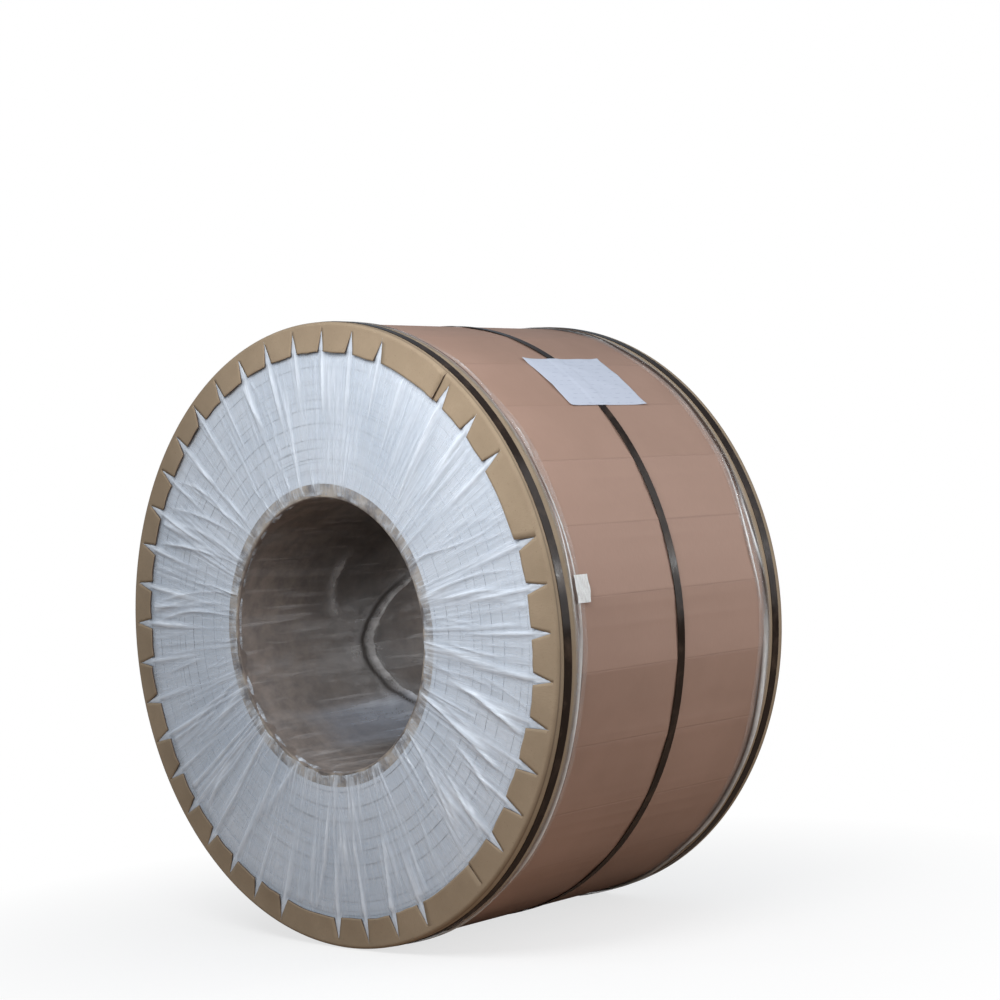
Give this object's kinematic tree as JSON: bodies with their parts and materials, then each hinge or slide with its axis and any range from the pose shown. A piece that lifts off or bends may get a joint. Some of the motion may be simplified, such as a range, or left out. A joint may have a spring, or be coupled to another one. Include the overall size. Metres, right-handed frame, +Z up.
{
  "type": "stainless steel coil",
  "caption": "Coil of steel strip on a fibre core, packed in clear film, fibre board, notched kraft edge rings and steel straps, lying on its side.",
  "frame": {"origin": "centre of the bore, halfway along it", "axes": "+Y along the bore from the front end to the back end, +Z up as the coil lies on its side"},
  "size_m": [1.1549, 0.632, 1.1549],
  "materials": {
    "strip": "mill finish, turns showing",
    "core": "raw fibre",
    "film": "clear, pleated",
    "board": "raw board, creased",
    "kraft": "raw kraft board",
    "tape": "clear, wrinkled",
    "strap": "blackened, satin",
    "seal": "blackened",
    "paper": "plain"
  },
  "bodies": {
    "root": {"steel_coil": "strip", "core_tube": "core", "film_wrap": "film", "outer_wrap": "board", "edge_ring_front": "kraft", "edge_ring_back": "kraft", "tape_front": "tape", "tape_back": "tape", "strap_front": "strap", "strap_middle": "strap", "strap_back": "strap", "seal_front": "seal", "seal_middle": "seal", "seal_back": "seal", "label": "paper"}
  },
  "joints": []
}
